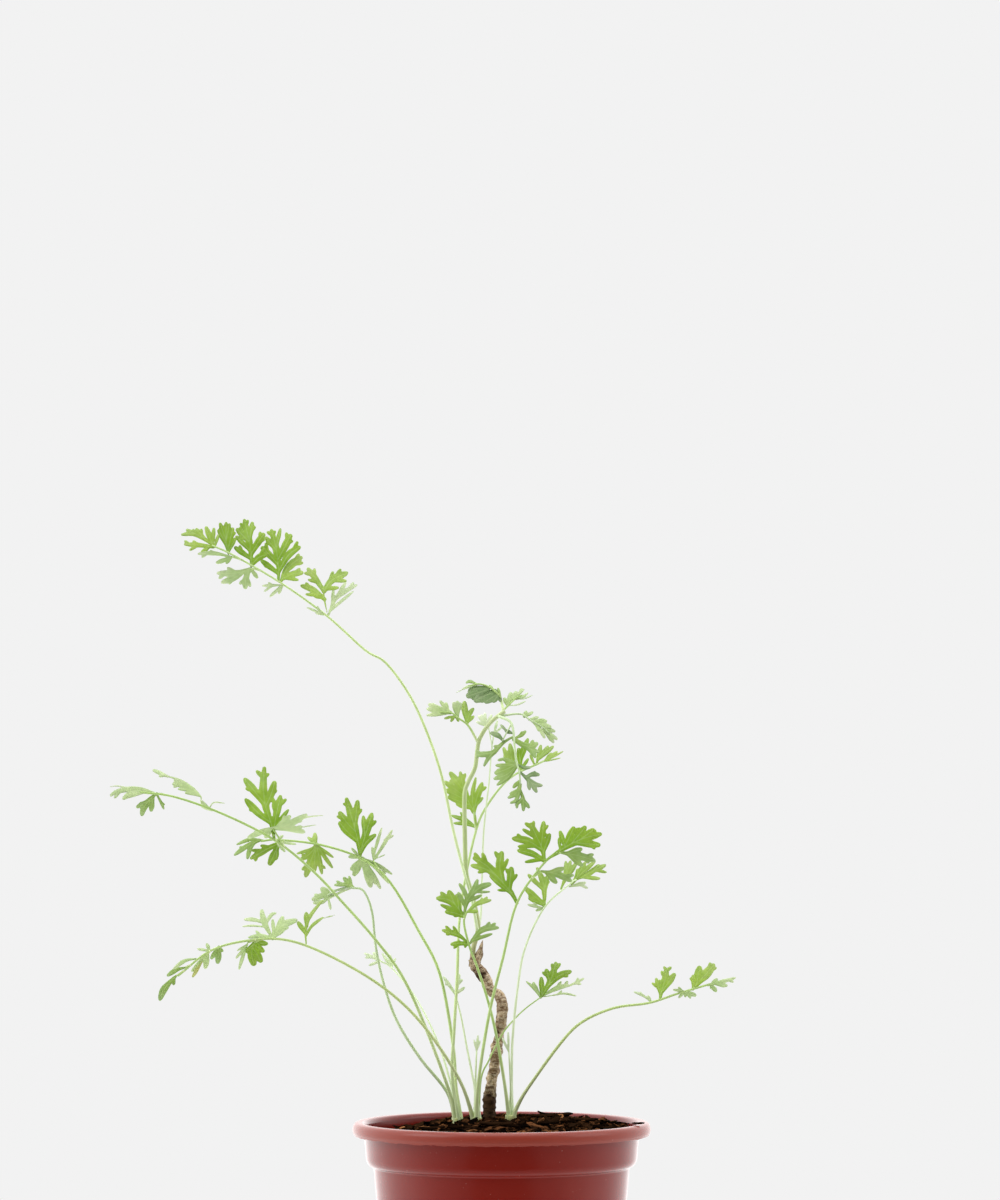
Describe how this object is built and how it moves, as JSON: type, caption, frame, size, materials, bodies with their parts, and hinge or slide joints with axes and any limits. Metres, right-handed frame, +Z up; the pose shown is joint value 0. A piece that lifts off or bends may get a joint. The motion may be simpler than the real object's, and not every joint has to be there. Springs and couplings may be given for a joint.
{
  "type": "potted wormwood plant",
  "caption": "Young wormwood with finely lobed grey-green leaves on long arching stalks and a gnarled woody stem, in a round plastic nursery pot.",
  "frame": {"origin": "centre of the pot's bottom face", "axes": "+Z up along the pot's axis, -Y towards the viewer of the plant's broad side, +X to that viewer's right"},
  "size_m": [0.2716, 0.13, 0.375],
  "materials": {
    "pot": "satin",
    "soil": "matte",
    "bark": "matte",
    "wood": "matte",
    "crown": "matte",
    "shoot": "satin",
    "leaf": "satin",
    "leaf_silver": "matte",
    "leaf_pale": "matte"
  },
  "bodies": {
    "root": {"chip_back": "bark", "chip_back_left": "bark", "chip_back_right": "bark", "chip_far_right": "bark", "chip_front": "bark", "chip_front_left": "bark", "chip_front_right": "bark", "chip_left": "bark", "chip_middle_right": "bark", "chip_on_rim": "bark", "chip_right": "bark", "crown_left": "crown", "crown_middle": "crown", "crown_right": "crown", "green_shoot": "shoot", "leaf_back_right": "leaf", "leaf_front_large": "leaf", "leaf_front_small": "leaf", "leaf_left_back": "leaf", "leaf_left_inner": "leaf_silver", "leaf_left_long": "leaf", "leaf_left_low": "leaf", "leaf_right_far": "leaf", "leaf_right_pale": "leaf", "leaf_right_small": "leaf", "leaf_shoot_crest": "leaf_silver", "leaf_shoot_hanging": "leaf_silver", "leaf_shoot_left": "leaf", "leaf_shoot_pale": "leaf_pale", "leaf_shoot_right": "leaf_silver", "leaf_thin_behind": "leaf_pale", "leaf_top_long": "leaf", "leaf_young_back": "leaf_pale", "leaf_young_front": "leaf_pale", "leaf_young_middle": "leaf_pale", "leaf_young_right": "leaf_pale", "pot": "pot", "root_fibre": "bark", "soil": "soil", "woody_stem": "wood"}
  },
  "joints": []
}
